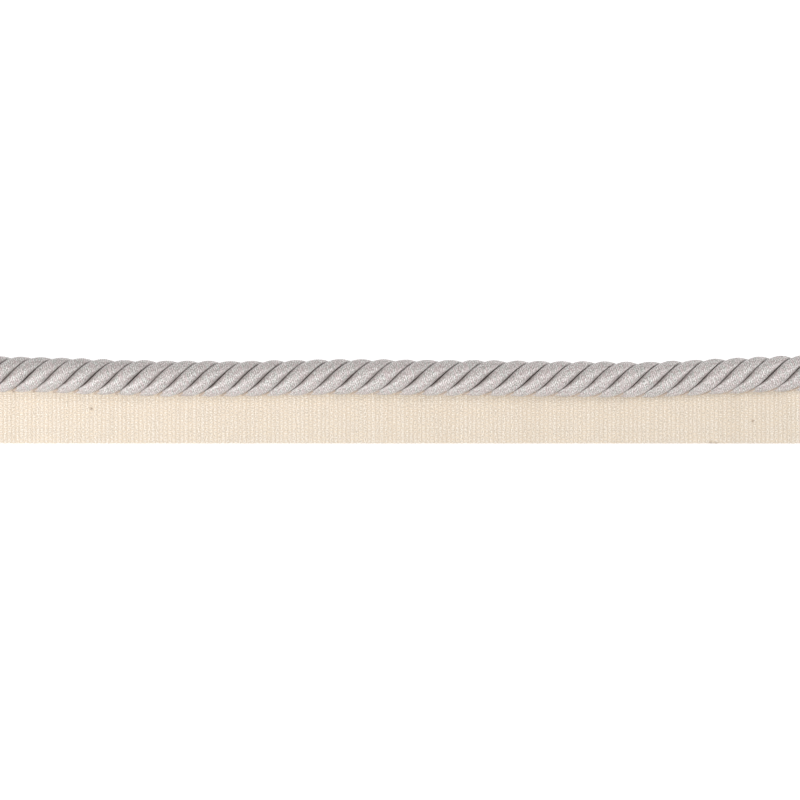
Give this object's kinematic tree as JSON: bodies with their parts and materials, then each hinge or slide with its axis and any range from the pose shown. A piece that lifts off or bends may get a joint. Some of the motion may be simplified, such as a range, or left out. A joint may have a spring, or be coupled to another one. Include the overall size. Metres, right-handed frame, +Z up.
{
  "type": "cord trim",
  "caption": "Length of twisted cord sewn along one edge of a flat woven tape, lying straight, for edging cushions, curtains and upholstery seams.",
  "frame": {"origin": "middle of the tape's flat underside, on the surface that the trim lies on", "axes": "+X along the trim, +Y across it from the tape's free edge towards the cord, +Z up out of the surface"},
  "size_m": [0.2203, 0.0235, 0.0108],
  "materials": {
    "cord_yarn": "matt grey spun yarn with a faint sheen, wound into round strands",
    "tape_cotton": "matt unbleached cotton tape with fine ribs across it"
  },
  "bodies": {
    "root": {"cord": "cord_yarn", "tape": "tape_cotton"}
  },
  "joints": []
}
